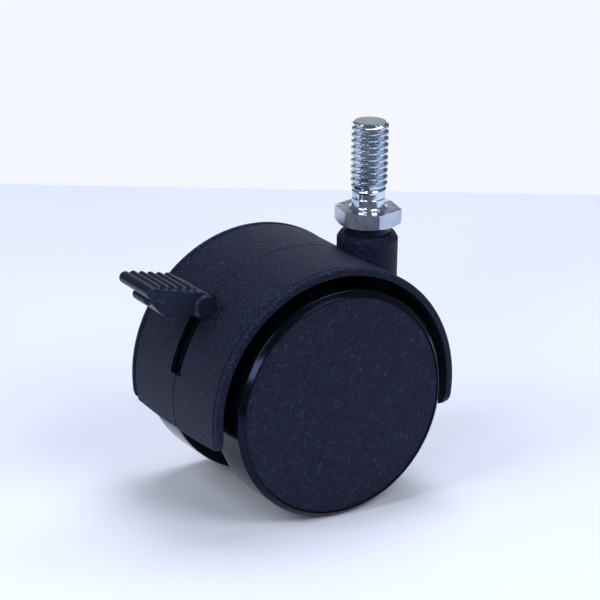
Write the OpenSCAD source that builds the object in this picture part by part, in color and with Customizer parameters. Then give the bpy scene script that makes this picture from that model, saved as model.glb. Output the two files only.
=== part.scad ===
// Hooded twin-wheel chair caster with a threaded stem and a thumb-and-toe brake lever.
// Origin: centre of the hex's top face, on the stem axis, where the caster seats on a chair base.
// +Z runs up the stem, the brake lever points to -X, and the wheels turn about an axis along Y.

/* [Overall] */
// Diameter of each wheel over its tread
wheel_d = 50; // [40:0.5:60]
// Gap between the two treads
wheel_gap = 19.8; // [18:0.1:26]
// Width of one wheel, from its inner edge to its outer face
wheel_w = 10.9; // [10.5:0.1:14]
// Distance from the stem axis forward to the axle
stem_offset = 18.4; // [15:0.1:22.5]
// Height of the hex's top face above the axle
stem_rise = 35.2; // [34.5:0.1:42.5]

/* [Stem] */
// Major diameter of the 5/16-18 thread
thread_d = 7.94; // [6.6:0.01:9.6]
// Distance between two thread crests
thread_pitch = 1.411; // [1:0.001:1.75]
// Length of the stem above the hex
stem_length = 19.05; // [15:0.05:40]
// Distance across the flats of the hex
hex_af = 12.7; // [11:0.1:15.5]
// Height of the hex
hex_h = 3.8; // [3:0.1:5]
// Turn of the hex about the stem at rest
hex_turn = 17; // [0:1:59]
// Plain neck between the hex and the first thread crest
neck_h = 3.6; // [3:0.1:6]
// Diameter of the spigot that turns in the socket
spigot_d = 6.9; // [6.4:0.05:7]
// Length of the spigot below the hex
spigot_l = 24; // [20:0.5:25]

/* [Housing] */
// Wall of the hood
hood_wall = 1.6; // [1.3:0.1:2.5]
// Gap between a tread and the inside of the hood
hood_gap = 2.7; // [1.5:0.1:5]
// Width of the hood along the axle
hood_w = 37; // [34:0.5:45]
// Distance from the axle down to the hood's lower edge
hood_drop = 6.6; // [5:0.1:9]
// Corner radius of the hood's lower edge
hood_corner = 4; // [1:0.5:6]
// Width of the raised lip along each side of the hood
lip_w = 1.9; // [1:0.1:3]
// Width and depth of the groove beside the lip
lip_groove = 0.4; // [0.2:0.05:0.8]
// Thickness of the web that carries the axle
web_t = 8.2; // [7:0.1:10]
// Radius of the web's hub around the axle
web_hub_r = 8; // [6:0.5:9]
// Diameter of the boss under the hex
boss_d = 13.2; // [13:0.1:16]
// Gap between the top of the boss and the hex
boss_gap = 1.6; // [1.4:0.1:3]

/* [Wheels] */
// Diameter of the axle pin
axle_d = 5; // [4:0.1:6]
// Wall of the tread ring
tread_t = 2.2; // [1.5:0.1:3]
// Wall of the wheel rim inside the tread ring
rim_t = 2.4; // [1.8:0.1:3]
// Bevel on the outer edge of the tread
tread_bevel = 1.1; // [0.5:0.1:1.5]
// Thickness of the disc across the wheel
disc_t = 2.1; // [1.6:0.1:2.5]
// Thickness of the wheel cover
cover_t = 1.7; // [1.4:0.1:2]
// Outer radius of the wheel hub
hub_r = 6.8; // [6.8:0.1:9]
// Number of ribs behind the disc
rib_count = 6; // [3:1:10]

/* [Brake] */
// Width of the slot in the hood that the lever moves in
slot_w = 3.9; // [3:0.1:5]
// Angle of the released lever above the horizontal, measured on the hood from the front
lever_up = 41; // [35:1:45]
// Angle that the lever turns through to lock
lever_travel = 24; // [16:1:26]
// Height of the lever's arm where it passes the hood
arm_h = 5.2; // [4:0.1:6]
// Width of the lever's pad along the axle
pad_w = 13.6; // [11:0.1:18]
// Tilt of the pad
pad_tilt = 12; // [0:1:20]
// Distance from the hood out to the centre of the lever's root roll
pad_standoff = 3.9; // [3.4:0.1:6]
// Number of finger ridges on the pad
ridge_count = 5; // [3:1:5]
// Distance between two ridges
ridge_pitch = 2.06; // [1.8:0.01:2.1]
// Diameter of the brake bar
bar_d = 2.5; // [2:0.1:3]
// Distance that the brake bar slides to lock
brake_travel = 1.2; // [0.8:0.1:1.6]

/* [Hidden] */
$fn = 96;

cut = 1;                     // how far a cutting shape runs past what it cuts
run_fit = 0.05;              // radial clearance of a running fit
slide_fit = 0.12;            // clearance each side of a sliding fit
free_gap = 0.3;              // gap between pieces that pass each other
side_gap = 0.25;             // gap beside the lever and beside the wheels' bushes
tiny_gap = 0.1;              // gap round and under the thrust washer
edge = 0.3;                  // small edge break on turned pieces
right = -1;
left = 1;

// Colours
nylon_black = "#26282e";
tread_black = "#1d1f25";
zinc = "#c9d2da";
spring_steel = "#8f979d";
acetal_grey = "#3a3d42";

// Hood and web
wheel_r = wheel_d / 2;
hood_in_r = wheel_r + hood_gap;
hood_r = hood_in_r + hood_wall;
seam_w = 0.3;                // width of the mould seam round the middle of the hood
seam_depth = 0.15;
lip_bevel = 0.45;
cheek_s = web_t / 2;         // half thickness of the web
cavity_rear = 8.2;           // rear wall of the cavity between the web's cheeks

// Socket, from the hex downwards; heights are above the axle
hex_under_z = stem_rise - hex_h;
boss_r = boss_d / 2;
boss_top_z = hex_under_z - boss_gap;
boss_chamfer = 1.2;
start_turn = 40;             // turns the boss's own start line clear of the hood's seam
washer_w = 1.55;             // radial width of the thrust washer, over the spigot
washer_t = 1.4;
washer_r = spigot_d / 2 + washer_w;
sleeve_t = 1;
sleeve_r = spigot_d / 2 + run_fit + sleeve_t;
spigot_end_z = hex_under_z - spigot_l;
socket_floor_z = spigot_end_z - free_gap;
socket_base_t = 3;
snap_h = 1;                  // height of the snap ring
snap_t = 0.95;               // radial thickness of the snap ring
snap_depth = 0.65;           // depth of its groove in the spigot
snap_up = 2.4;               // height of the snap ring above the spigot's end
snap_z = spigot_end_z + snap_up;
spigot_chamfer = 0.8;
snap_split = 50;             // angle of the gap in the snap ring

// Thread
thread_depth = 0.61 * thread_pitch;
crest_w = thread_pitch / 8;
hex_corner_r = hex_af / 2 / cos(30);
hex_chamfer = 0.9;
tip_chamfer = 1;
neck_r = thread_d / 2 - thread_depth / 2;
fillet_h = 0.8;
crest_count = floor((stem_length - tip_chamfer - neck_h) / thread_pitch);

// Wheels: s is the distance from the middle of the caster along the axle
axle_r = axle_d / 2;
inner_s = wheel_gap / 2;
face_s = inner_s + wheel_w;
disc_out_s = face_s - cover_t;
disc_in_s = disc_out_s - disc_t;
rim_r = wheel_r - tread_t;
rim_in_r = rim_r - rim_t;
tread_rim = 0.25;            // flat rim of the tread ring beside the cover
tread_edge = 0.4;            // edge break on the tread's inner side
cover_gap = 0.12;            // gap between the cover and the tread ring
cover_r = wheel_r - tread_bevel - tread_rim;
tread_in_r = cover_r + cover_gap;
bush_t = 1.05;
bush_r = axle_r + run_fit + bush_t;
flange_t = 0.6;
flange_w = 1.6;
flange_s = cheek_s + side_gap;
flange_r = bush_r + flange_w;
clip_gap = 0.2;              // gap between the wheel and its clip
clip_s = disc_in_s + clip_gap;
clip_t = 0.6;
clip_w = 2.1;
clip_r = axle_r + clip_w;
clip_groove = 0.3;
hub_wall = 0.8;
recess_r = hub_r - hub_wall; // pocket over the clip, in the end of the hub
peg_gap = 0.15;              // gap round the cover's ring where it plugs into that pocket
peg_t = 0.75;
axle_past = 0.4;             // length of the axle pin outside its clip
axle_end_s = clip_s + clip_t + axle_past;
rib_t = 1.6;
rib_h = 2.4;

// Brake: angles run from +X towards +Z, seen with +X to the right and +Z up
lever_angle = 180 - lever_up;
bar_angle = lever_angle + lever_travel / 2;
shoe_gap = 0.2;              // gap left to the rim in the locked position
shoe_face_r = rim_in_r - shoe_gap;
shoe_reach = 4.4;            // from the bar's axis to the shoe's face
shoe_depth = 7;
shoe_h = 8;
shoe_inset = 0.5;            // distance from the tread's inner edge to the shoe
shoe_s = inner_s + shoe_inset;
shoe_end_s = disc_in_s - rib_h - free_gap;
bar_short = 0.4;             // the bar ends this far inside the shoe's outer side
bar_r = bar_d / 2;
bar_lock_at = shoe_face_r - shoe_reach;
bar_rest_at = bar_lock_at - brake_travel;
bar_mid_at = (bar_lock_at + bar_rest_at) / 2;
lever_t = slot_w - 2 * side_gap;
lever_hub_r = 5.5;
cam_shift = brake_travel / 2 / sin(lever_travel / 2);
cam_r = sqrt(pow(bar_mid_at, 2) + pow(cam_shift * cos(lever_travel / 2), 2));
cam_wall = 1.6;
cam_lobe_r = bar_mid_at * sin(lever_travel / 2) + bar_r + slide_fit + cam_wall;
arm_half_angle = asin(arm_h / 2 / hood_in_r);
slot_spare = 1;              // angle left beyond the arm at each end of the slot
slot_from = lever_angle - arm_half_angle - slot_spare;
slot_to = lever_angle + lever_travel + arm_half_angle + slot_spare;
notch_r = 1;
notch_depth = 0.35;
spring_t = 0.4;
spring_w = 2.6;
spring_reach = 8.5;

// Lever pad, in its own frame: +u runs out along the pad and w stands up from it
root_r = 2.6;                // roll at the root of the pad
pad_top = 2.75;              // height of the land between the ridges
pad_edge = 12.7;             // distance from the root to the nose's step
ridge_r = 0.75;
ridge_first = 3.0;
nose_r = 1.3;
nose_u = 13.3;
belly = -2.5;                // underside of the pad's body
scoop_r = 5.2;               // hollow on each side below the nose

// ---- helpers -------------------------------------------------------------

// Puts shapes that are drawn round the axle in their place under the stem.
module at_axle() {
    translate([-stem_offset, 0, -stem_rise]) children();
}

// Draws the left side's shape, or its mirror image on the right.
module on_side(side) {
    mirror([0, side < 0 ? 1 : 0, 0]) children();
}

// A rod along the axle from s0 to s1.
module rod(r, s0, s1) {
    translate([0, s0, 0]) rotate([-90, 0, 0]) cylinder(h = s1 - s0, r = r);
}

// A tube along the axle from s0 to s1.
module tube(r_out, r_in, s0, s1) {
    difference() {
        rod(r_out, s0, s1);
        rod(r_in, s0 - cut, s1 + cut);
    }
}

// A turned shape round the axle, from a profile of [radius, s] points.
module turned(profile) {
    rotate([-90, 0, 0]) rotate_extrude() polygon(profile);
}

// A plate across the axle from s0 to s1, from an outline in X and Z.
module plate(s0, s1) {
    translate([0, s1, 0]) rotate([90, 0, 0]) linear_extrude(s1 - s0) children();
}

// A turned shape round the stem, from a profile of [radius, z] points.
module turned_up(profile) {
    rotate_extrude() polygon(profile);
}

// A wedge of a ring, in X and Z, between two angles less than 180 apart.
module ring_wedge(r_in, r_out, from, to) {
    far = 2 * r_out;
    middle = (from + to) / 2;
    intersection() {
        difference() {
            circle(r_out);
            circle(r_in);
        }
        polygon([[0, 0], far * [cos(from), sin(from)], far * [cos(middle), sin(middle)],
                 far * [cos(to), sin(to)]]);
    }
}

// ---- housing -------------------------------------------------------------

// Half of the hood's wall in section, from the seam to the lip.
function hood_half(side) = [
    [hood_r, side * seam_w / 2],
    [hood_r, side * (hood_w / 2 - lip_w - 2 * lip_groove)],
    [hood_r - lip_groove, side * (hood_w / 2 - lip_w - lip_groove)],
    [hood_r, side * (hood_w / 2 - lip_w)],
    [hood_r, side * (hood_w / 2 - lip_bevel)],
    [hood_r - lip_bevel, side * hood_w / 2],
    [hood_in_r, side * hood_w / 2]
];

function reversed(list) = [for (i = [len(list) - 1:-1:0]) list[i]];

module hood() {
    turned(concat(reversed(hood_half(right)), [[hood_r - seam_depth, 0]], hood_half(left)));
}

// Everything below the hood's lower edge, with the corners of that edge left round.
module below_hood() {
    wide = hood_w + 2 * cut;
    tall = 2 * hood_r;
    translate([-2 * hood_r, -wide / 2, -hood_drop - tall]) cube([4 * hood_r, wide, tall]);
    for (side = [right, left])
        on_side(side)
            translate([0, hood_w / 2 - hood_corner, hood_corner - hood_drop])
                rotate([0, 90, 0])
                    difference() {
                        translate([0, 0, -2 * hood_r])
                            cube([hood_corner + cut, hood_corner + cut, 4 * hood_r]);
                        translate([0, 0, -2 * hood_r - cut])
                            cylinder(h = 4 * hood_r + 2 * cut, r = hood_corner);
                    }
}

// It is turned so that its own start line keeps clear of the hood's seam.
module boss() {
    translate([stem_offset, 0, 0])
        rotate(start_turn) turned_up([
            [0, socket_floor_z - socket_base_t], [boss_r, socket_floor_z - socket_base_t],
            [boss_r, boss_top_z - boss_chamfer], [boss_r - boss_chamfer / 2, boss_top_z],
            [0, boss_top_z]
        ]);
}

// Room above the boss for the hex to turn, which a larger hood would otherwise fill.
module hex_room() {
    translate([stem_offset, 0, boss_top_z - free_gap])
        cylinder(h = stem_rise, r = hex_corner_r + free_gap);
}

// The socket for the sleeve, the recess for the thrust washer and the snap ring's clearance.
module socket() {
    translate([stem_offset, 0, 0]) rotate(start_turn) {
        translate([0, 0, socket_floor_z]) cylinder(h = stem_rise, r = sleeve_r);
        translate([0, 0, boss_top_z - washer_t / 2]) cylinder(h = stem_rise, r = washer_r + tiny_gap);
    }
}

// The slot that the brake bar slides in.
module bar_slot() {
    rotate(bar_angle) {
        translate([bar_rest_at, 0]) circle(bar_r + slide_fit);
        translate([bar_lock_at, 0]) circle(bar_r + slide_fit);
        translate([bar_rest_at, -bar_r - slide_fit]) square([brake_travel, bar_d + 2 * slide_fit]);
    }
}

// The cavity between the web's cheeks, where the lever swings.
module lever_cavity() {
    plate(-slot_w / 2, slot_w / 2)
        intersection() {
            circle(hood_in_r);
            translate([cavity_rear - 4 * hood_r, -2 * hood_r]) square(4 * hood_r);
        }
}

module housing() {
    color(nylon_black)
        at_axle()
            difference() {
                union() {
                    difference() {
                        union() {
                            hood();
                            rod(hood_r - hood_wall / 2, -cheek_s, cheek_s);
                        }
                        below_hood();
                        hex_room();
                    }
                    rod(web_hub_r, -cheek_s, cheek_s);
                    boss();
                }
                lever_cavity();
                plate(-slot_w / 2, slot_w / 2)
                    ring_wedge(hood_in_r - cut, hood_r + cut, slot_from, slot_to);
                plate(-cheek_s - cut, cheek_s + cut) bar_slot();
                rod(axle_r, -cheek_s - cut, cheek_s + cut);
                socket();
            }
}

// ---- stem ----------------------------------------------------------------

// Bearing sleeve in the socket, with a groove that the snap ring springs into.
module stem_sleeve() {
    bore = spigot_d / 2 + run_fit;
    ring_room = spigot_d / 2 - snap_depth + snap_t + free_gap;
    color(spring_steel)
        at_axle()
            translate([stem_offset, 0, 0])
                turned_up([
                    [bore, socket_floor_z], [sleeve_r, socket_floor_z],
                    [sleeve_r, boss_top_z - washer_t / 2 - tiny_gap],
                    [bore, boss_top_z - washer_t / 2 - tiny_gap],
                    [bore, snap_z + snap_h + free_gap], [ring_room, snap_z + snap_h + free_gap],
                    [ring_room, snap_z - free_gap], [bore, snap_z - free_gap]
                ]);
}

// Washer that carries the hex on top of the boss.
module thrust_washer() {
    color(acetal_grey)
        at_axle()
            translate([stem_offset, 0, boss_top_z - washer_t / 2])
                difference() {
                    cylinder(h = hex_under_z - boss_top_z + washer_t / 2 - tiny_gap,
                             r = washer_r);
                    translate([0, 0, -cut])
                        cylinder(h = stem_rise, r = spigot_d / 2 + run_fit);
                }
}

// One thread crest and the groove above it.
function crest(i) =
    let (z = neck_h + i * thread_pitch, flank = (thread_pitch - 2 * crest_w) / 2)
    [
        [thread_d / 2, z], [thread_d / 2, z + crest_w],
        [thread_d / 2 - thread_depth, z + crest_w + flank],
        [thread_d / 2 - thread_depth, z + 2 * crest_w + flank]
    ];

module thread_and_neck() {
    thread_top = neck_h + crest_count * thread_pitch;
    turned_up(concat(
        [[0, -cut], [neck_r + fillet_h, -cut], [neck_r + fillet_h, 0], [neck_r, fillet_h],
         [neck_r, neck_h - thread_depth / 2]],
        [for (i = [0:crest_count - 1], p = crest(i)) p],
        [[thread_d / 2, thread_top], [thread_d / 2, stem_length - tip_chamfer],
         [thread_d / 2 - tip_chamfer, stem_length], [0, stem_length]]
    ));
}

// The hex, with a chamfer under its corners.
module hex() {
    run = 2 * hex_chamfer;
    intersection() {
        rotate(hex_turn)
            translate([0, 0, -hex_h]) cylinder(h = hex_h, r = hex_corner_r, $fn = 6);
        turned_up([
            [0, -hex_h], [hex_corner_r - run, -hex_h], [hex_corner_r + run, run - hex_h],
            [hex_corner_r + run, 0], [0, 0]
        ]);
    }
}

module spigot() {
    r = spigot_d / 2;
    low = -hex_h - spigot_l;
    ring_z = snap_z - stem_rise;
    into_hex = -hex_h / 2;
    turned_up([
        [0, low], [r - spigot_chamfer, low], [r, low + spigot_chamfer], [r, ring_z],
        [r - snap_depth, ring_z], [r - snap_depth, ring_z + snap_h], [r, ring_z + snap_h],
        [r, into_hex], [0, into_hex]
    ]);
}

module threaded_stem() {
    color(zinc) {
        thread_and_neck();
        hex();
        spigot();
    }
}

module stem_snap_ring() {
    inner = spigot_d / 2 - snap_depth;
    color(spring_steel)
        at_axle()
            translate([stem_offset, 0, snap_z])
                linear_extrude(snap_h)
                    difference() {
                        circle(inner + snap_t);
                        circle(inner);
                        polygon([[0, 0], spigot_d * [cos(snap_split / 2), sin(snap_split / 2)],
                                 spigot_d * [cos(snap_split / 2), -sin(snap_split / 2)]]);
                    }
}

// ---- axle and wheels -----------------------------------------------------

module axle_pin() {
    groove_r = axle_r - clip_groove;
    color(zinc)
        at_axle()
            turned(concat(
                [[0, -axle_end_s], [axle_r - edge, -axle_end_s], [axle_r, edge - axle_end_s],
                 [axle_r, -clip_s - clip_t], [groove_r, -clip_s - clip_t],
                 [groove_r, -clip_s], [axle_r, -clip_s]],
                [[axle_r, clip_s], [groove_r, clip_s], [groove_r, clip_s + clip_t],
                 [axle_r, clip_s + clip_t], [axle_r, axle_end_s - edge],
                 [axle_r - edge, axle_end_s], [0, axle_end_s]]
            ));
}

// Push-on ring that keeps a wheel on the axle.
module axle_clip(side) {
    color(spring_steel)
        at_axle() on_side(side) tube(clip_r, axle_r - clip_groove, clip_s, clip_s + clip_t);
}

// Rim, disc, ribs and hub of a wheel, in one moulding.
module wheel_core(side) {
    color(nylon_black)
        at_axle()
            on_side(side)
                difference() {
                    union() {
                        tube(rim_r, rim_in_r, inner_s, disc_out_s);
                        rod(rim_r - rim_t / 2, disc_in_s, disc_out_s);
                        rod(hub_r, flange_s + flange_t, disc_in_s + disc_t / 2);
                        for (i = [0:rib_count - 1])
                            rotate([0, i * 360 / rib_count, 0])
                                translate([hub_r - 1, disc_in_s - rib_h, -rib_t / 2])
                                    cube([rim_in_r - hub_r + 2, rib_h + disc_t / 2, rib_t]);
                    }
                    rod(bush_r, 0, face_s);
                    rod(recess_r, disc_in_s, face_s);
                }
}

// Smooth tread ring round the rim, with its bevelled outer edge.
module tread(side) {
    color(tread_black)
        at_axle()
            on_side(side)
                turned([
                    [rim_r, inner_s], [wheel_r - tread_edge, inner_s],
                    [wheel_r, inner_s + tread_edge],
                    [wheel_r, face_s - tread_bevel], [wheel_r - tread_bevel, face_s],
                    [tread_in_r, face_s], [tread_in_r, disc_out_s], [rim_r, disc_out_s]
                ]);
}

// Textured disc that snaps over the wheel's outer side.
module wheel_cover(side) {
    peg_r = recess_r - peg_gap;
    peg_s = disc_in_s + free_gap;
    color(nylon_black)
        at_axle()
            on_side(side)
                turned([
                    [0, disc_out_s], [peg_r - peg_t, disc_out_s], [peg_r - peg_t, peg_s],
                    [peg_r, peg_s], [peg_r, disc_out_s],
                    [cover_r, disc_out_s], [cover_r, face_s - edge], [cover_r - edge, face_s],
                    [0, face_s]
                ]);
}

// Flanged bush pressed into a wheel's hub, which runs on the axle.
module hub_bush(side) {
    bore = axle_r + run_fit;
    color(acetal_grey)
        at_axle()
            on_side(side)
                turned([
                    [bore, flange_s], [flange_r, flange_s], [flange_r, flange_s + flange_t],
                    [bush_r, flange_s + flange_t], [bush_r, disc_in_s], [bore, disc_in_s]
                ]);
}

// ---- brake ---------------------------------------------------------------

// Slot in the lever that drives the brake bar: part of a circle set off the axle.
module cam_slot() {
    half = lever_travel / 2;
    room = bar_r + slide_fit;
    intersection() {
        translate([0, -cam_shift])
            difference() {
                circle(cam_r + room);
                circle(cam_r - room);
            }
        polygon([[0, 0], 3 * cam_r * [cos(half), sin(half)], 3 * cam_r * [cos(half), -sin(half)]]);
    }
    rotate(half) translate([bar_rest_at, 0]) circle(room);
    rotate(-half) translate([bar_lock_at, 0]) circle(room);
}

module lever_outline() {
    difference() {
        union() {
            circle(lever_hub_r);
            translate([bar_mid_at, 0]) circle(cam_lobe_r);
            translate([0, -arm_h / 2]) square([hood_r + pad_standoff, arm_h]);
        }
        cam_slot();
        circle(axle_r + run_fit);
        for (turn = [0, lever_travel])
            rotate(90 - lever_angle - turn)
                translate([lever_hub_r + notch_r - notch_depth, 0]) circle(notch_r + run_fit);
    }
}

// Underside and sides of the pad; the hollows below the nose let a toe lift it.
module pad_body() {
    half_w = pad_w / 2;
    difference() {
        plate(-half_w, half_w)
            polygon([
                [0, pad_top - 0.4], [-1.2, pad_top], [-pad_edge, pad_top], [-pad_edge, 1],
                [-11.6, 0.4], [-11, -1.3], [-8.7, belly], [-3.6, belly], [0, -root_r + 0.2]
            ]);
        for (side = [right, left])
            on_side(side)
                translate([-nose_u - 1.2, half_w + 1.4, belly - cut])
                    cylinder(h = cut + 0.7 - belly, r = scoop_r);
    }
}

module pad() {
    half_w = pad_w / 2;
    rod(root_r, -half_w, half_w);
    pad_body();
    translate([-nose_u, 0, pad_top - nose_r + 0.3]) rod(nose_r, -half_w + 0.3, half_w - 0.3);
    for (i = [0:ridge_count - 1])
        translate([-ridge_first - i * ridge_pitch, 0, pad_top - 0.1]) rod(ridge_r, -half_w, half_w);
}

module brake_lever() {
    color(nylon_black)
        at_axle() {
            plate(-lever_t / 2, lever_t / 2) rotate(lever_angle) lever_outline();
            translate((hood_r + pad_standoff) * [cos(lever_angle), 0, sin(lever_angle)])
                rotate([0, pad_tilt, 0])
                    pad();
        }
}

// Leaf spring whose tip clicks into the lever's two notches.
module detent_spring() {
    tip_z = lever_hub_r + notch_r - notch_depth;
    color(spring_steel)
        at_axle()
            plate(-spring_w / 2, spring_w / 2) {
                translate([0, tip_z]) circle(notch_r);
                translate([0, tip_z + notch_r - spring_t]) square([spring_reach - free_gap, spring_t]);
            }
}

module brake_bar() {
    color(zinc)
        at_axle()
            translate(bar_rest_at * [cos(bar_angle), 0, sin(bar_angle)])
                rod(bar_r, -shoe_end_s + bar_short, shoe_end_s - bar_short);
}

// Block on the end of the brake bar that presses on the inside of a wheel's rim.
module brake_shoe(side) {
    color(acetal_grey)
        at_axle()
            on_side(side)
                plate(shoe_s, shoe_end_s)
                    rotate(bar_angle)
                        translate([-brake_travel, 0])
                            difference() {
                                intersection() {
                                    circle(shoe_face_r);
                                    translate([shoe_face_r - shoe_depth, -shoe_h / 2])
                                        square([2 * shoe_depth, shoe_h]);
                                }
                                translate([bar_lock_at, 0]) circle(bar_r);
                            }
}

housing();
stem_sleeve();
thrust_washer();
threaded_stem();
stem_snap_ring();
axle_pin();
axle_clip(right);  // right_axle_clip
axle_clip(left);  // left_axle_clip
wheel_core(right);  // right_wheel_core
wheel_core(left);  // left_wheel_core
tread(right);  // right_tread
tread(left);  // left_tread
wheel_cover(right);  // right_wheel_cover
wheel_cover(left);  // left_wheel_cover
hub_bush(right);  // right_hub_bush
hub_bush(left);  // left_hub_bush
brake_lever();
detent_spring();
brake_bar();
brake_shoe(right);  // right_brake_shoe
brake_shoe(left);  // left_brake_shoe
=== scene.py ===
# %% [markdown]
# # A twin-wheel chair caster
# The caster is a nylon hood over two wheels, a zinc-plated screw stem and a brake lever.
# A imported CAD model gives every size, place and joint. This script puts a detailed piece over
# each part that shows, and it gives every other part the finish of its real material.

# %% Load the frame
import math

import bmesh
import bpy
from mathutils import Matrix, Vector


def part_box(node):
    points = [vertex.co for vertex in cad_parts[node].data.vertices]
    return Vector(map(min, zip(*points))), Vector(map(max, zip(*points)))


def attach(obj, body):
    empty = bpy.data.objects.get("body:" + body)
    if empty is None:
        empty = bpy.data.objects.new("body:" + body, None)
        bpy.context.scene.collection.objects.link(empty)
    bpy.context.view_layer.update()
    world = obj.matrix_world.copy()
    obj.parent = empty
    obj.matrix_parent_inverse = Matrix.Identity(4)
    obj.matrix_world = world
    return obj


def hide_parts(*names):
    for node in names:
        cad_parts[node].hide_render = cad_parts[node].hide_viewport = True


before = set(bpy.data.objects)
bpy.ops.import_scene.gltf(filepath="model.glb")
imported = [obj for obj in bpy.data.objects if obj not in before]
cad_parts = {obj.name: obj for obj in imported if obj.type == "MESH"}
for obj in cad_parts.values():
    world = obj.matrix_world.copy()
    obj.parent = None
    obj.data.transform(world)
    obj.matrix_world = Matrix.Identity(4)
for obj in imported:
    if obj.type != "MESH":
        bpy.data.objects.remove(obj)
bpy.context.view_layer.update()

MM = 0.001

# %% [markdown]
# The main sizes are read from the CAD boxes, so the looks can't drift from the design.
# Lengths here are in millimetres, because that is how such a part is drawn. One function,
# used when a mesh is made, turns them into metres and moves them to their place.

# %% Read the sizes that everything hangs on
def node_box(node):
    """The lowest and highest corner of a CAD node, in millimetres."""
    low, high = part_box(node)
    return low / MM, high / MM


pin_low, pin_high = node_box("axle_pin")
tread_low, tread_high = node_box("left_tread")
core_low, core_high = node_box("left_wheel_core")
cover_low, cover_high = node_box("left_wheel_cover")
hood_low, hood_high = node_box("housing")
stem_low, stem_high = node_box("threaded_stem")
sleeve_low, sleeve_high = node_box("stem_sleeve")
washer_low, washer_high = node_box("thrust_washer")

AXLE = (pin_low + pin_high) / 2
AXLE_R = (pin_high.z - pin_low.z) / 2
STEM = Vector((0, 0, 0))
FLOOR_Z = tread_low.z
WHEEL_R = (tread_high.z - tread_low.z) / 2
INNER_S = tread_low.y
FACE_S = tread_high.y
RIM_R = (core_high.z - core_low.z) / 2
COVER_R = (cover_high.z - cover_low.z) / 2
HOOD_R = AXLE.x - hood_low.x
HOOD_HALF = hood_high.y
print("axle at", [round(v, 2) for v in AXLE], "wheel radius", round(WHEEL_R, 2))
print("hood radius", round(HOOD_R, 2), "half width", round(HOOD_HALF, 2))

# %% [markdown]
# Moulded parts have no sharp corners, because melt doesn't fill them and a mould can't be cut
# with them. So each outline here is a short list of corners, each with its own radius, and one
# function turns the corners into arcs. The edges then catch the light as real edges do.

# %% Helpers that draw outlines
def rounded(corners, steps=5):
    """A closed outline through corners (x, y, radius), with each corner turned into an arc."""
    outline = []
    count = len(corners)
    for i, (x, y, radius) in enumerate(corners):
        here = Vector((x, y))
        to_before = (Vector(corners[i - 1][:2]) - here).normalized()
        to_after = (Vector(corners[(i + 1) % count][:2]) - here).normalized()
        half = to_before.angle(to_after) / 2
        if radius == 0 or half > math.radians(89):
            outline.append((x, y))
            continue
        centre = here + (to_before + to_after).normalized() * radius / math.sin(half)
        start = here + to_before * radius / math.tan(half) - centre
        end = here + to_after * radius / math.tan(half) - centre
        turn = start.angle_signed(end)
        for k in range(steps + 1):
            spoke = Matrix.Rotation(-turn * k / steps, 2) @ start
            outline.append(tuple(centre + spoke))
    return outline


def arc(x, y, radius, start, end, steps):
    """Points on an arc about (x, y), between two angles in degrees."""
    angles = [math.radians(start + (end - start) * k / steps) for k in range(steps + 1)]
    return [(x + radius * math.cos(a), y + radius * math.sin(a)) for a in angles]


def turned_by(points, degrees):
    """The points of an outline, turned about its origin."""
    turn = math.radians(degrees)
    return [(x * math.cos(turn) - y * math.sin(turn), x * math.sin(turn) + y * math.cos(turn))
            for x, y in points]


print("a rounded square has", len(rounded([(0, 0, 1), (9, 0, 1), (9, 9, 1), (0, 9, 1)])), "points")

# %% [markdown]
# Nearly all of a caster is turned or extruded in its mould, so two mesh builders make most of
# it. A lathe spins an outline round the axle (Y) or the stem (Z), and a prism gives an outline
# a thickness. Both give closed meshes, which booleans need.

# %% Helpers that build meshes
def axes(a, b, t, along):
    """A point with a and b across the axis and t along it."""
    return Vector((a, t, b)) if along == "Y" else Vector((a, b, t))


def to_object(bm, name, at, sharp=35):
    """A Blender object from a mesh in millimetres, moved to its place in the frame."""
    bmesh.ops.remove_doubles(bm, verts=bm.verts, dist=1e-4)
    bmesh.ops.recalc_face_normals(bm, faces=bm.faces)
    bmesh.ops.transform(bm, matrix=Matrix.Scale(MM, 4) @ Matrix.Translation(at), verts=bm.verts)
    mesh = bpy.data.meshes.new(name)
    bm.to_mesh(mesh)
    bm.free()
    piece = bpy.data.objects.new(name, mesh)
    bpy.context.scene.collection.objects.link(piece)
    shade(piece, sharp)
    return piece


def shade(piece, sharp=35):
    """Smooth shading, with edges over that many degrees kept sharp."""
    piece.data.shade_smooth()
    piece.data.set_sharp_from_angle(angle=math.radians(sharp))


def lathe(name, outline, at=AXLE, along="Y", turns=160):
    """An outline of (radius, distance along the axis) points, spun round the axis."""
    bm = bmesh.new()
    rings = []
    for radius, t in outline:
        if radius < 1e-6:
            rings.append([bm.verts.new(axes(0, 0, t, along))] * turns)
            continue
        spokes = [2 * math.pi * k / turns for k in range(turns)]
        rings.append([bm.verts.new(axes(radius * math.cos(a), radius * math.sin(a), t, along))
                      for a in spokes])
    for i, ring in enumerate(rings):
        following = rings[(i + 1) % len(rings)]
        for k in range(turns):
            after = (k + 1) % turns
            corners = [ring[k], following[k], following[after], ring[after]]
            corners = list(dict.fromkeys(corners))
            if len(corners) > 2:
                bm.faces.new(corners)
    return to_object(bm, name, at)


def prism(name, outline, low, high, at=AXLE, along="Y"):
    """An outline across the axis, given a thickness from low to high along it."""
    bm = bmesh.new()
    ends = [[bm.verts.new(axes(a, b, t, along)) for a, b in outline] for t in (low, high)]
    bm.faces.new(ends[0])
    bm.faces.new(ends[1])
    for k in range(len(outline)):
        after = (k + 1) % len(outline)
        bm.faces.new([ends[0][k], ends[0][after], ends[1][after], ends[1][k]])
    return to_object(bm, name, at)


# %% [markdown]
# A part with pockets and bores is built as it is designed: solids are added, then cut. The exact
# boolean solver keeps the result closed. Modifiers are turned into plain mesh at once, so that
# nothing is left to recompute when the part is posed or exported.

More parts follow.
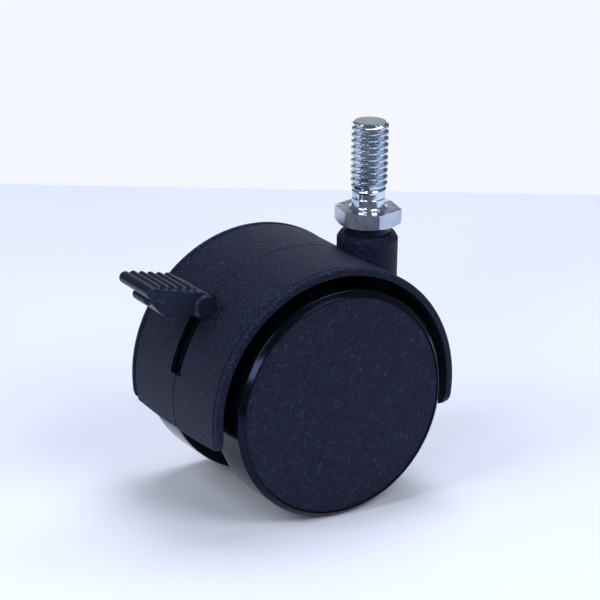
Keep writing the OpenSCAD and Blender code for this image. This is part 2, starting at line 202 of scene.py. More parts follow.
# %% Helpers that cut, join and soften
def settle(piece):
    """Turns the piece's modifiers into plain mesh."""
    bpy.context.view_layer.update()
    found = piece.evaluated_get(bpy.context.evaluated_depsgraph_get())
    mesh = bpy.data.meshes.new_from_object(found)
    piece.modifiers.clear()
    piece.data = mesh


def combine(piece, tool, operation):
    """Adds the tool to the piece, or cuts it away, and then discards the tool."""
    boolean = piece.modifiers.new("combine", "BOOLEAN")
    boolean.operation = operation
    boolean.solver = "EXACT"
    boolean.object = tool
    settle(piece)
    bpy.data.objects.remove(tool)


def soften(piece, width, segments=2, angle=40):
    """Rounds every edge sharper than the angle, by a width in millimetres."""
    bevel = piece.modifiers.new("soften", "BEVEL")
    bevel.width = width * MM
    bevel.segments = segments
    bevel.limit_method = "ANGLE"
    bevel.angle_limit = math.radians(angle)
    bevel.use_clamp_overlap = False
    bevel.harden_normals = False
    settle(piece)
    shade(piece)


# %% [markdown]
# Colours are written as sRGB hex values, as a paint chart gives them, and one function turns
# them into the linear values that Blender's shaders work in.

# %% Colour and node helpers
def srgb(code):
    """A linear colour from a hex value such as #26282e."""
    shares = [int(code[i:i + 2], 16) / 255 for i in (1, 3, 5)]
    linear = [c / 12.92 if c <= 0.04045 else ((c + 0.055) / 1.055) ** 2.4 for c in shares]
    return (*linear, 1)


def add(tree, kind, inputs=None, **settings):
    """Adds a node with its settings; an input is a value or another node's output."""
    node = tree.nodes.new(kind)
    for name, value in settings.items():
        setattr(node, name, value)
    for name, value in (inputs or {}).items():
        if isinstance(value, bpy.types.NodeSocket):
            tree.links.new(value, node.inputs[name])
        else:
            node.inputs[name].default_value = value
    return node


def per_metre(size):
    """The scale that makes a pattern's features about that many millimetres wide."""
    return 1 / (size * MM)


def ramp(tree, source, stops):
    """A colour ramp's output, with stops of (place, hex value)."""
    node = add(tree, "ShaderNodeValToRGB", {"Fac": source})
    points = node.color_ramp.elements
    while len(points) < len(stops):
        points.new(0.5)
    for point, (place, code) in zip(points, stops):
        point.position = place
        point.color = srgb(code)
    return node.outputs["Color"]


def new_material(name, **shader):
    """A material and its tree and shader, with constants set on the shader's own sockets."""
    material = bpy.data.materials.new(name)
    material.use_nodes = True
    bsdf = material.node_tree.nodes["Principled BSDF"]
    for socket, value in shader.items():
        bsdf.inputs[socket.replace("_", " ").title().replace("Ior", "IOR")].default_value = value
    return material, material.node_tree, bsdf


print("nylon black is", [round(c, 4) for c in srgb("#1c1d22")])

# %% [markdown]
# The hood and the wheel covers are black nylon, injected into a mould whose faces were
# spark-eroded. The fine pits of the mould leave a grain of well under a millimetre, so the
# surface looks matt, with small pale specks where a grain faces the light. Modelled pits would
# need millions of faces, so one noise gives the bump and the changes of roughness, and it also
# paints the colour: painted shade in the pits and painted highlights, the pale specks, on the
# crests.

# %% Spark-eroded black nylon
GRAIN_MM = 0.66
MOTTLE_MM = 7
NYLON_IOR = 1.53
COOL_SHEEN = "#aebcff"      # carbon-black pigment gives black nylon a slightly blue sheen


def spark_eroded_nylon(name, dark, body, pale, painted_glint, bump_mm):
    """Black nylon with a fine grain; its colour paints shade into the pits and glints onto the
    crests.
    """
    material, tree, bsdf = new_material(name, ior=NYLON_IOR, specular_ior_level=0.34,
                                        specular_tint=srgb(COOL_SHEEN))
    place = add(tree, "ShaderNodeTexCoord").outputs["Object"]
    grain = add(tree, "ShaderNodeTexNoise", {
        "Vector": place, "Scale": per_metre(GRAIN_MM), "Detail": 3.0, "Roughness": 0.7})
    mottle = add(tree, "ShaderNodeTexNoise", {
        "Vector": place, "Scale": per_metre(MOTTLE_MM), "Detail": 3.0, "Roughness": 0.55})
    # The grain's colour follows its bump: painted shade where it is low, painted highlights and
    # glints where it is high.
    painted_grain_light = ramp(tree, grain.outputs["Fac"], [
        (0.3, dark), (0.5, body), (0.66, pale), (0.8, painted_glint)])
    shade_map = ramp(tree, mottle.outputs["Fac"], [(0.3, "#b8b8b8"), (0.7, "#ffffff")])
    colour = add(tree, "ShaderNodeMix", {"Factor": 0.5}, data_type="RGBA", blend_type="MULTIPLY")
    tree.links.new(painted_grain_light, colour.inputs["A"])
    tree.links.new(shade_map, colour.inputs["B"])
    gloss = add(tree, "ShaderNodeMapRange", {
        "Value": grain.outputs["Fac"], "To Min": 0.44, "To Max": 0.66})
    bump = add(tree, "ShaderNodeBump", {
        "Height": grain.outputs["Fac"], "Strength": 1.0, "Distance": bump_mm * MM})
    tree.links.new(colour.outputs["Result"], bsdf.inputs["Base Color"])
    tree.links.new(gloss.outputs["Result"], bsdf.inputs["Roughness"])
    tree.links.new(bump.outputs["Normal"], bsdf.inputs["Normal"])
    return material


# In each, the first colour is painted shade in the grain's pits, and the last two are painted
# highlights on its crests.
hood_nylon = spark_eroded_nylon(
    "spark_eroded_nylon_hood", "#020307", "#0a0c16", "#272c47", "#565e80", 0.6)
cover_nylon = spark_eroded_nylon(
    "spark_eroded_nylon_cover", "#020306", "#0a0b15", "#232742", "#6a7090", 0.5)
print("grained nylons:", hood_nylon.name, cover_nylon.name)

# %% [markdown]
# The tread ring, the lever and the wheel cores come from polished moulds. Their surface is
# smooth and half glossy, with only the slight waviness of a cooling melt, so highlights run
# along their edges in soft bands. Handling leaves faint dull marks.

# %% Smooth moulded nylon and polyurethane
WAVE_MM = 2.4
SMEAR_MM = 9


def smooth_moulding(name, body, worn, gloss_from, gloss_to, ior, shine=0.5, wave_mm=0.02):
    """A smooth polymer, with roughness that drifts between two values where it is handled."""
    material, tree, bsdf = new_material(name, ior=ior, specular_ior_level=shine,
                                        specular_tint=srgb(COOL_SHEEN))
    place = add(tree, "ShaderNodeTexCoord").outputs["Object"]
    wave = add(tree, "ShaderNodeTexNoise", {
        "Vector": place, "Scale": per_metre(WAVE_MM), "Detail": 2.0, "Roughness": 0.5})
    smear = add(tree, "ShaderNodeTexNoise", {
        "Vector": place, "Scale": per_metre(SMEAR_MM), "Detail": 5.0, "Roughness": 0.65})
    colour = ramp(tree, smear.outputs["Fac"], [(0.35, body), (0.75, worn)])
    gloss = add(tree, "ShaderNodeMapRange", {
        "Value": smear.outputs["Fac"], "From Min": 0.3, "From Max": 0.7,
        "To Min": gloss_from, "To Max": gloss_to})
    bump = add(tree, "ShaderNodeBump", {
        "Height": wave.outputs["Fac"], "Strength": 0.5, "Distance": wave_mm * MM})
    tree.links.new(colour, bsdf.inputs["Base Color"])
    tree.links.new(gloss.outputs["Result"], bsdf.inputs["Roughness"])
    tree.links.new(bump.outputs["Normal"], bsdf.inputs["Normal"])
    return material


tread_polyurethane = smooth_moulding(
    "moulded_polyurethane", "#040509", "#080910", 0.12, 0.2, 1.45, shine=0.26)
lever_nylon = smooth_moulding(
    "polished_mould_nylon", "#101219", "#171a26", 0.32, 0.46, NYLON_IOR)
core_nylon = smooth_moulding(
    "moulded_nylon_core", "#0b0c12", "#11131b", 0.4, 0.52, NYLON_IOR)
black_acetal = smooth_moulding(
    "moulded_acetal", "#101116", "#181a20", 0.32, 0.45, 1.48)
brake_rubber = smooth_moulding(
    "moulded_rubber", "#17171a", "#212125", 0.6, 0.78, 1.52, wave_mm=0.04)
print("smooth mouldings:", tread_polyurethane.name, lever_nylon.name, core_nylon.name)

# %% [markdown]
# The stem is cold-headed steel with a thin zinc plate and a clear blue passivation. It is a
# bright metal with a slight blue cast. Where it was rolled or turned, fine rings run round it,
# and the flats of the hex keep the drawing lines of the bar, which run along it. The lines are
# noise that is stretched along their own direction.

# %% Zinc-plated steel and spring steel
RING_MM = 0.16
TINT_MM = 6


def bright_steel(name, dark, light, rough_from, rough_to, lines, bump_mm):
    """Lines is the stretch of the pattern: a small number runs long along that axis."""
    material, tree, bsdf = new_material(name, metallic=1.0)
    place = add(tree, "ShaderNodeTexCoord").outputs["Object"]
    stretched = add(tree, "ShaderNodeMapping", {"Vector": place, "Scale": lines})
    scratch = add(tree, "ShaderNodeTexNoise", {
        "Vector": stretched.outputs["Vector"], "Scale": per_metre(RING_MM),
        "Detail": 3.0, "Roughness": 0.6})
    tint = add(tree, "ShaderNodeTexNoise", {
        "Vector": place, "Scale": per_metre(TINT_MM), "Detail": 2.0, "Roughness": 0.5})
    colour = ramp(tree, tint.outputs["Fac"], [(0.3, dark), (0.7, light)])
    gloss = add(tree, "ShaderNodeMapRange", {
        "Value": scratch.outputs["Fac"], "From Min": 0.3, "From Max": 0.7,
        "To Min": rough_from, "To Max": rough_to})
    bump = add(tree, "ShaderNodeBump", {
        "Height": scratch.outputs["Fac"], "Strength": 0.6, "Distance": bump_mm * MM})
    tree.links.new(colour, bsdf.inputs["Base Color"])
    tree.links.new(gloss.outputs["Result"], bsdf.inputs["Roughness"])
    tree.links.new(bump.outputs["Normal"], bsdf.inputs["Normal"])
    return material


ROUND_Z = (0.05, 0.05, 1.0)
ALONG_Z = (1.0, 1.0, 0.04)
ROUND_Y = (0.05, 1.0, 0.05)
zinc_rolled = bright_steel(
    "zinc_plated_steel_rolled", "#b9c9db", "#dde6ee", 0.1, 0.2, ROUND_Z, 0.002)
zinc_drawn = bright_steel(
    "zinc_plated_steel_drawn", "#b4bfd0", "#d5dde6", 0.2, 0.4, ALONG_Z, 0.012)
zinc_pin = bright_steel(
    "zinc_plated_steel_pin", "#b9c5d4", "#dae1e8", 0.2, 0.34, ROUND_Y, 0.004)
spring_steel = bright_steel(
    "spring_steel", "#7d848b", "#9aa1a8", 0.26, 0.42, ROUND_Z, 0.004)
print("metals:", zinc_rolled.name, zinc_drawn.name, zinc_pin.name, spring_steel.name)


# %% [markdown]
# Each finished piece is handed over in one place: it gets its materials and the body it moves
# with, and the CAD node it stands for is hidden. Doing all of it in one place means that no
# piece can miss a step.

# %% Helper that hands a piece over
def hand_over(piece, body, slot, node, *materials):
    """Gives a piece its materials and its body, and hides the CAD node it stands for. The slot is
    not used.
    """
    piece.data.materials.clear()
    for material in materials:
        piece.data.materials.append(material)
    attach(piece, body)
    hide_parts(node)
    print(piece.name, len(piece.data.polygons), "faces, rides on", body)


# %% [markdown]
# ## The hood
# The hood is one curved wall over both wheels, with a thicker bead along each side. It could be
# a solidified plane, but then its lower edge, which is level and has round corners, would need
# trimming. Here each point of the wall's section runs round its own arc and stops where it
# meets that edge, so the mesh is a clean grid from end to end.

# %% Build the hood's wall
HOOD_WALL = 1.6
HOOD_EDGE = 0.25        # rounding of the wall's lower and inner edges
SKIN_DROP = 0.12        # the hood's face lies this far below the crown of its bead
HOOD_DROP = 6.6
HOOD_CORNER = 4.0
BEAD_W = 1.15
GROOVE_W = 0.7
GROOVE_DEPTH = 0.62
SEAM_HALF = 0.22
SEAM_DEPTH = 0.3
GRID_AT = (3, 6.5, 10)  # extra grid lines across the flat of the section
ARC_STEPS = 220
HOOD_IN_R = HOOD_R - HOOD_WALL


def half_of_hood():
    """The outer line of the section from the seam to the side, as (radius, s) points."""
    skin = HOOD_R - SKIN_DROP
    bead_from = HOOD_HALF - BEAD_W
    corners = [
        (HOOD_IN_R, 0, 0), (skin, 0, 0), (skin, bead_from - GROOVE_W, 0.25),
        (skin - GROOVE_DEPTH, bead_from - GROOVE_W / 2, 0.18),
        (HOOD_R, bead_from, 0.4), (HOOD_R, HOOD_HALF, 0.6), (HOOD_IN_R, HOOD_HALF, 0)]
    return [(skin, s) for s in (SEAM_HALF, *GRID_AT)] + rounded(corners, 6)[2:-1]


def end_angle(radius, s):
    """The angle below the level of the axle at which that point of the section stops."""
    into_corner = max(0, abs(s) - (HOOD_HALF - HOOD_CORNER))
    lift = HOOD_CORNER - math.sqrt(max(0, HOOD_CORNER ** 2 - into_corner ** 2))
    return math.asin((HOOD_DROP - lift) / radius)


def swept_line(bm, radius, s):
    """The points of the section's point (radius, s) along its arc, from edge to edge."""
    below = end_angle(radius, s)
    angles = [-below + (math.pi + 2 * below) * k / ARC_STEPS for k in range(ARC_STEPS + 1)]
    return [bm.verts.new((radius * math.cos(a), s, radius * math.sin(a))) for a in angles]


def hood_wall():
    """The outer and the inner sheet of the wall, joined along all four edges."""
    half = half_of_hood()
    section = [(r, -s) for r, s in reversed(half)] + [(HOOD_R - SKIN_DROP - SEAM_DEPTH, 0)] + half
    bm = bmesh.new()
    outer_lines, inner_lines = [], []
    for r, s in section:
        outer_lines.append(swept_line(bm, r, s))
        inner_lines.append(swept_line(bm, HOOD_IN_R, s))
    last = len(section) - 1
    for j in range(last):
        for k in range(ARC_STEPS):
            for lines in (outer_lines, inner_lines):
                bm.faces.new([lines[j][k], lines[j][k + 1], lines[j + 1][k + 1], lines[j + 1][k]])
        for k in (0, ARC_STEPS):
            bm.faces.new([outer_lines[j][k], outer_lines[j + 1][k],
                          inner_lines[j + 1][k], inner_lines[j][k]])
    for j in (0, last):
        for k in range(ARC_STEPS):
            bm.faces.new([outer_lines[j][k], inner_lines[j][k],
                          inner_lines[j][k + 1], outer_lines[j][k + 1]])
    soft_edges = []
    for lines in (outer_lines, inner_lines):
        for k in (0, ARC_STEPS):
            for j in range(last):
                soft_edges.append(bm.edges.get((lines[j][k], lines[j + 1][k])))
    for j in (0, last):
        for k in range(ARC_STEPS):
            soft_edges.append(bm.edges.get((inner_lines[j][k], inner_lines[j][k + 1])))
    bmesh.ops.bevel(bm, geom=soft_edges, offset=HOOD_EDGE, segments=3, profile=0.5,
                    affect="EDGES", clamp_overlap=False)
    return to_object(bm, "housing_moulding", AXLE)


housing = hood_wall()
print("hood wall:", len(housing.data.polygons), "faces")

# %% [markdown]
# A flat web in the middle carries the axle, and a boss at the rear holds the stem. Both are part
# of the same moulding, so they are added to the wall as solids. The socket is cut only after
# that, because a union of surfaces that lie on each other is what a boolean solver gets wrong.

# %% Add the web and the boss
WEB_HALF = 4.1
WEB_HUB_R = 8.0
BOSS_R = 6.6
BOSS_TOP = 29.8
BOSS_BASE = 4.1
BOSS_LIP_IN = 0.75
BOSS_LIP_DOWN = 1.2
SOCKET_R = sleeve_high.x
SOCKET_FLOOR = sleeve_low.z - AXLE.z
WASHER_ROOM = washer_high.x + 0.1
WASHER_SEAT = washer_low.z - AXLE.z
CUT_PAST = 9            # how far the cutter goes past the top of the boss
web_r = HOOD_R - HOOD_WALL / 2
web_end = math.degrees(math.asin(HOOD_DROP / web_r))
hub_end = math.degrees(math.asin(HOOD_DROP / WEB_HUB_R))

web_outline = (arc(0, 0, web_r, -web_end, 180 + web_end, 120)
               + arc(0, 0, WEB_HUB_R, 180 + hub_end, 360 - hub_end, 24))
web = prism("web", web_outline, -WEB_HALF, WEB_HALF)
combine(housing, web, "UNION")

boss_outline = rounded([
    (0, BOSS_BASE, 0), (BOSS_R, BOSS_BASE, 0.4), (BOSS_R, BOSS_TOP - BOSS_LIP_DOWN, 0.5),
    (BOSS_R - BOSS_LIP_IN, BOSS_TOP, 0.3), (0, BOSS_TOP, 0)], 4)
stem_foot = Vector((STEM.x, STEM.y, AXLE.z))
boss_body = lathe("boss", boss_outline, stem_foot, "Z", 128)
socket_core = lathe("socket", [
    (0, SOCKET_FLOOR), (SOCKET_R, SOCKET_FLOOR), (SOCKET_R, WASHER_SEAT),
    (WASHER_ROOM, WASHER_SEAT), (WASHER_ROOM, BOSS_TOP + CUT_PAST), (0, BOSS_TOP + CUT_PAST)],
    stem_foot, "Z", 120)
combine(housing, boss_body, "UNION")
combine(housing, socket_core, "DIFFERENCE")
boss_top = max(v.co.z for v in housing.data.vertices) / MM
print("with web and boss:", len(housing.data.polygons), "faces, top at", round(boss_top, 2), "mm")

# %% [markdown]
# Then the cuts: the cavity where the lever swings, the slot that it comes out of, the short
# slot for the brake bar and the hole for the axle. The lever's slot lies on the curved wall, so
# its cutter is drawn on the unrolled wall, with round corners, and then wrapped round the axle.

# %% Cut the cavity, the slots and the bore
CAVITY_HALF = 1.95
CAVITY_REAR = 8.2
LEVER_ANGLE = 139.0
LEVER_TRAVEL = 24.0
ARM_H = 5.2
BAR_ANGLE = LEVER_ANGLE + LEVER_TRAVEL / 2
BAR_R = 1.25
BAR_REST = 14.6
BAR_LOCK = 15.8
SLIDE_FIT = 0.12
SLOT_CORNER = 0.5
SLOT_SPARE = 1          # degrees past the arm at each end of its travel
SLOT_STEP = 1.0         # length of one straight piece of the cutter along the wall
WALL_SPARE = 1.5        # how far the cutter goes past both faces of the wall

rear_angle = math.degrees(math.acos(CAVITY_REAR / HOOD_IN_R))
cavity = prism("cavity", arc(0, 0, HOOD_IN_R, rear_angle, 360 - rear_angle, 120),
               -CAVITY_HALF, CAVITY_HALF)
combine(housing, cavity, "DIFFERENCE")


def slot_cutter(start, end, half):
    """A cutter for a slot in the hood between two angles, with rounded corners."""
    low = math.radians(start) * HOOD_R
    high = math.radians(end) * HOOD_R
    square = ((-half, low), (half, low), (half, high), (-half, high))
    corners = rounded([(s, run, SLOT_CORNER) for s, run in square], 4)
    outline = []
    for i, (s, run) in enumerate(corners):
        s_next, run_next = corners[(i + 1) % len(corners)]
        pieces = max(1, round(abs(run_next - run) / SLOT_STEP))
        for k in range(pieces):
            outline.append((s + (s_next - s) * k / pieces, run + (run_next - run) * k / pieces))
    bm = bmesh.new()
    ends = []
    for radius in (HOOD_IN_R - WALL_SPARE, HOOD_R + WALL_SPARE):
        ends.append([bm.verts.new((radius * math.cos(run / HOOD_R), s,
                                   radius * math.sin(run / HOOD_R))) for s, run in outline])
    for k in range(len(outline)):
        after = (k + 1) % len(outline)
        bm.faces.new([ends[0][k], ends[0][after], ends[1][after], ends[1][k]])
    for end in ends:
        bmesh.ops.triangulate(bm, faces=[bm.faces.new(end)])
    return to_object(bm, "slot_cutter", AXLE)


arm_half_angle = math.degrees(math.asin(ARM_H / 2 / HOOD_IN_R))
slot_from = LEVER_ANGLE - arm_half_angle - SLOT_SPARE
slot_to = LEVER_ANGLE + LEVER_TRAVEL + arm_half_angle + SLOT_SPARE
combine(housing, slot_cutter(slot_from, slot_to, CAVITY_HALF), "DIFFERENCE")

bar_room = BAR_R + SLIDE_FIT
bar_outline = arc(BAR_REST, 0, bar_room, 90, 270, 16) + arc(BAR_LOCK, 0, bar_room, -90, 90, 16)
past_web = WEB_HALF + 1
bar_slot = prism("bar_slot", turned_by(bar_outline, BAR_ANGLE), -past_web, past_web)
combine(housing, bar_slot, "DIFFERENCE")
axle_bore = prism("axle_bore", arc(0, 0, AXLE_R, 0, 352.5, 47), -past_web, past_web)
combine(housing, axle_bore, "DIFFERENCE")
shade(housing, 32)
hand_over(housing, "swivel_housing", "black_nylon", "housing", hood_nylon)

# %% [markdown]
# ## The wheels
# Each wheel is a nylon core with a polyurethane tread ring, and a thin grained cover snaps over
# its outer side. A picture of a ring would do from far away, but the fine gap between tread and
# cover is real and catches no light, so both are turned shapes with that gap between them.

# %% Tread rings and covers
TREAD_BEVEL = 1.1
RING_GAP = 0.05
COVER_T = 1.7
COVER_DOME_W = 1.4      # the cover's face slopes down a little over this width at its edge
COVER_DOME = 0.12
SNAP_IN_R = 5.1         # the ring on the cover's back that snaps into the core
SNAP_OUT_R = 5.85
SNAP_DEEP = 1.8
disc_out_s = FACE_S - COVER_T


def mirrored(outline, side):
    """The outline for the left wheel, or its mirror image for the right one."""
    return [(r, side * s) for r, s in outline]


def tread_outline():
    """The ring's section: its running face, its bevel and its seat on the core."""
    ring_in = COVER_R + RING_GAP
    return rounded([
        (RIM_R, INNER_S, 0), (WHEEL_R - 0.05, INNER_S, 0.45), (WHEEL_R, INNER_S + 1.2, 2),
        (WHEEL_R, FACE_S - TREAD_BEVEL, 0.5), (WHEEL_R - TREAD_BEVEL, FACE_S, 0.35),
        (ring_in, FACE_S, 0.08), (ring_in, disc_out_s, 0), (RIM_R, disc_out_s, 0)], 6)


def cover_outline():
    """The cover's section: a disc with a snap ring on its back."""
    snap_end = disc_out_s - SNAP_DEEP
    return rounded([
        (0, disc_out_s, 0), (SNAP_IN_R, disc_out_s, 0), (SNAP_IN_R, snap_end, 0),
        (SNAP_OUT_R, snap_end, 0.2), (SNAP_OUT_R, disc_out_s, 0), (COVER_R, disc_out_s, 0),
        (COVER_R, FACE_S - COVER_DOME, 0.32), (COVER_R - COVER_DOME_W, FACE_S - 0.02, 1.0),
        (0, FACE_S, 0)], 5)


for name, side, body in (("left", 1, "left_wheel"), ("right", -1, "right_wheel")):
    ring = lathe(f"{name}_tread_ring", mirrored(tread_outline(), side), turns=240)
    hand_over(ring, body, "black_polyurethane", f"{name}_tread", tread_polyurethane)
    cover = lathe(f"{name}_cover_disc", mirrored(cover_outline(), side), turns=240)
    hand_over(cover, body, "black_nylon", f"{name}_wheel_cover", cover_nylon)

# %% [markdown]
# The core shows from below and between the wheels: a rim, a disc, a hub and ribs that stiffen
# the disc. The turned part and the ribs are each drawn with round edges, as a mould would have it,
# and then joined.

# %% Wheel cores
DISC_T = 2.1
RIM_T = 2.4
HUB_R = 6.8
BUSH_R = 3.6
POCKET_R = 6.0
RIB_COUNT = 6
RIB_T = 1.6
RIB_H = 2.4
RIB_SINK = 0.8          # how far a rib's foot runs into the disc
RIB_REACH = 0.6         # how far its ends run into the hub and the rim
FLANGE_S = 4.95
disc_in_s = disc_out_s - DISC_T
rim_in_r = RIM_R - RIM_T


def core_outline():
    """The core's section: hub, disc and rim."""
    return rounded([
        (BUSH_R, FLANGE_S, 0.2), (HUB_R, FLANGE_S, 0.4), (HUB_R, disc_in_s, 0.6),
        (rim_in_r, disc_in_s, 0.8), (rim_in_r, INNER_S, 0.5), (RIM_R, INNER_S, 0),
        (RIM_R, disc_out_s, 0), (POCKET_R, disc_out_s, 0), (POCKET_R, disc_in_s, 0),
        (BUSH_R, disc_in_s, 0)], 4)


def add_ribs(core, side):
    """Joins the ribs to the inner face of the disc, evenly round the hub."""
    for i in range(RIB_COUNT):
        turn = 2 * math.pi * i / RIB_COUNT
        bm = bmesh.new()
        bmesh.ops.create_cube(bm, size=1)
        long_way = rim_in_r - HUB_R + 2 * RIB_REACH
        bmesh.ops.scale(bm, vec=(long_way, RIB_H + RIB_SINK, RIB_T), verts=bm.verts)
        bmesh.ops.bevel(bm, geom=bm.edges[:], offset=0.35, segments=3, profile=0.5,
                        affect="EDGES")
        middle = Vector(((rim_in_r + HUB_R) / 2, side * (disc_in_s - (RIB_H - RIB_SINK) / 2), 0))
        bmesh.ops.translate(bm, vec=middle, verts=bm.verts)
        bmesh.ops.rotate(bm, matrix=Matrix.Rotation(turn, 3, "Y"), verts=bm.verts)
        combine(core, to_object(bm, "rib", AXLE), "UNION")


for name, side, body in (("left", 1, "left_wheel"), ("right", -1, "right_wheel")):
    core = lathe(f"{name}_core_moulding", mirrored(core_outline(), side), turns=144)
    add_ribs(core, side)
    shade(core, 32)
    hand_over(core, body, "black_nylon", f"{name}_wheel_core", core_nylon)

# %% [markdown]
# ## The stem
# A rolled thread is a helix, and a stack of rings gives itself away at the silhouette. Here the
# mesh itself follows the helix: each row of points climbs by one pitch in a turn and joins the
# row one pitch above it. Crest and root are rounded, and the thread fades out above the neck.

# %% Threaded shank
THREAD_R = 3.97
PITCH = 1.411
THREAD_DEPTH = 0.66
CREST_TO = 0.66         # the groove takes this share of a pitch, and the crest the rest
GROOVE_FLOOR = 0.2
NECK_TOP = 3.6
NECK_STEP = 0.35        # the blank is this much smaller where the thread fades out
STEM_TOP = stem_high.z
AROUND = 96
ROWS_PER_PITCH = 14


def thread_depth_at(phase):
    """The depth of the groove at a phase from 0 to 1 through one pitch, with rounded corners."""
    flank = abs((phase % 1) - 0.5) * 2
    depth = min(1, max(0, (CREST_TO - flank) / (CREST_TO - GROOVE_FLOOR)))
    return THREAD_DEPTH * (depth * depth * (3 - 2 * depth) * 0.35 + depth * 0.65)


def shank_radius(z, phase):
    """The shank's radius at a height, with the thread faded in and the tip turned off at 45."""
    fade = min(1, max(0, (z - NECK_TOP) / (1.4 * PITCH)))
    blank = THREAD_R - (1 - fade) * NECK_STEP
    radius = blank - thread_depth_at(phase) * fade
    tip = THREAD_R - THREAD_DEPTH * 0.9 + (STEM_TOP - z)
    return min(radius, tip)


def helical_shank():
    """Rows of points that climb with the thread, capped at both ends."""
    bm = bmesh.new()
    low, high = NECK_TOP, STEM_TOP
    rows = []
    first = int(math.floor((low - PITCH) / PITCH * ROWS_PER_PITCH))
    last = int(math.ceil((high + PITCH) / PITCH * ROWS_PER_PITCH))
    for j in range(first, last + 1):
        row = []
        for i in range(AROUND):
            turn = i / AROUND
            z = min(high, max(low, (j / ROWS_PER_PITCH + turn) * PITCH))
            radius = shank_radius(z, z / PITCH - turn)
            a = 2 * math.pi * turn
            row.append(bm.verts.new((radius * math.cos(a), radius * math.sin(a), z)))
        rows.append(row)
    for j in range(len(rows) - 1):
        for i in range(AROUND):
            if i + 1 < AROUND:
                right_low, right_high = rows[j][i + 1], rows[j + 1][i + 1]
            elif j + 1 + ROWS_PER_PITCH < len(rows):
                right_low, right_high = rows[j + ROWS_PER_PITCH][0], rows[j + 1 + ROWS_PER_PITCH][0]
            else:
                continue
            bm.faces.new([rows[j][i], right_low, right_high, rows[j + 1][i]])
    bmesh.ops.remove_doubles(bm, verts=bm.verts, dist=2e-4)
    bmesh.ops.dissolve_degenerate(bm, edges=bm.edges, dist=2e-4)
    for z in (low, high):
        rim = [e for e in bm.edges if e.is_boundary
               and all(abs(v.co.z - z) < 1e-3 for v in e.verts)]
        if rim:
            bmesh.ops.edgeloop_fill(bm, edges=rim)
    return to_object(bm, "stem_steel", STEM, 30)


stem = helical_shank()
print("shank:", len(stem.data.polygons), "faces")

# %% [markdown]
# Below the thread come two plain bands with a fine groove between them, a fillet, the hex and
# the spigot that turns in the socket. The hex's lower corners are turned off at a slant, so the
# hex is a prism cut by a turned shape: where the two meet, the curved corner line appears.

# %% Neck, hex and spigot
HEX_H = 3.8
HEX_FLATS = 12.7
HEX_R = HEX_FLATS / 2 / math.cos(math.pi / 6)
HEX_TURN = 17.0
HEX_CHAMFER = 0.9
SPIGOT_R = SOCKET_R - 1.05     # the sleeve is 1 mm thick and the spigot runs free in it
SPIGOT_TIP = 0.8
RING_GROOVE_UP = 2.4
RING_GROOVE_H = 1
RING_GROOVE_R = SPIGOT_R - 0.65
LOW_BAND_R = 3.52
HIGH_BAND_R = 3.6
LINE_R = 3.38
OVERLAP = 0.3           # how far the neck runs up into the shank

neck = lathe("neck", rounded([
    (0, -1, 0), (4.3, -1, 0), (4.3, 0.06, 0), (LOW_BAND_R, 0.1, 0.65), (LOW_BAND_R, 2.15, 0.1),
    (LINE_R, 2.3, 0.06), (HIGH_BAND_R, 2.45, 0.1), (HIGH_BAND_R, NECK_TOP + OVERLAP, 0),
    (0, NECK_TOP + OVERLAP, 0)], 6), STEM, "Z", 96)
hex_angles = [math.radians(HEX_TURN + 60 * k) for k in range(6)]
hex_corners = [(HEX_R * math.cos(a), HEX_R * math.sin(a), 0.25) for a in hex_angles]
hex_block = prism("hex", rounded(hex_corners, 3), -HEX_H, 0, STEM, "Z")
hex_turned = lathe("hex_turned", rounded([
    (0, -HEX_H, 0), (HEX_R - 2 * HEX_CHAMFER, -HEX_H, 0.3),
    (HEX_R + 0.1, HEX_CHAMFER - HEX_H, 0), (HEX_R + 0.1, -0.12, 0),
    (HEX_R - 0.2, 0, 0), (0, 0, 0)], 4), STEM, "Z", 128)
combine(hex_block, hex_turned, "INTERSECT")
end_z = stem_low.z
ring_z = end_z + RING_GROOVE_UP
ring_top = ring_z + RING_GROOVE_H
into_hex = 0.5 - HEX_H
spigot = lathe("spigot", rounded([
    (0, end_z, 0), (SPIGOT_R - SPIGOT_TIP, end_z, 0.2), (SPIGOT_R, end_z + SPIGOT_TIP, 0.2),
    (SPIGOT_R, ring_z, 0), (RING_GROOVE_R, ring_z, 0), (RING_GROOVE_R, ring_top, 0),
    (SPIGOT_R, ring_top, 0), (SPIGOT_R, into_hex, 0), (0, into_hex, 0)], 3), STEM, "Z", 96)
combine(stem, neck, "UNION")
combine(stem, spigot, "UNION")
combine(stem, hex_block, "UNION")
shade(stem, 30)
hand_over(stem, "stem", "zinc_steel", "threaded_stem", zinc_rolled, zinc_drawn)

# %% [markdown]
# The hex is drawn bar and the rest is rolled or turned, so the hex's side faces get the steel
# with upright lines. They are found by height, direction and distance from the stem's middle.

# %% Give the hex's flats their own finish
flats = 0
for face in stem.data.polygons:
    level = face.center.z / MM
    if -HEX_H <= level <= 0 and abs(face.normal.z) < 0.3 and face.center.xy.length > 5 * MM:
        face.material_index = 1
        flats += 1
print("faces on the hex's flats:", flats)

# %% [markdown]
# ## The brake lever
# The lever's pad is a thick moulding with five ridges, a rolled nose with a second roll under it,
# and a hollow at each end below the nose. Everything on it melts into everything else, so its
# solids are drawn overlapping, a voxel remesh turns them into one skin, and a few smoothing
# passes round the meeting lines the way a mould's cutter does.

# %% Solids of the pad
PAD_HALF = 6.8
SIDE_HALF = 6.35        # the pad's sides lie a little inside the ends of its root roll
HOLLOW_TOP = 0.75
PAD_TILT = 12.0
PAD_STANDOFF = 3.9
ROOT_R = 2.6
PAD_TOP = 3.0
RIDGE_R = 0.75
RIDGE_FIRST = 3.25
RIDGE_PITCH = 2.06
RIDGES = 5
NOSE_R = 1.3
NOSE_U = 12.9
BELLY = -2.5
VOXEL = 0.13


def roll(x, z, radius, half, end=0.45):
    """A round bar along the axle with softened ends."""
    outline = rounded([(0, -half, 0), (radius, -half, end), (radius, half, end), (0, half, 0)], 4)
    return lathe("roll", outline, Vector((x, 0, z)), "Y", 40)


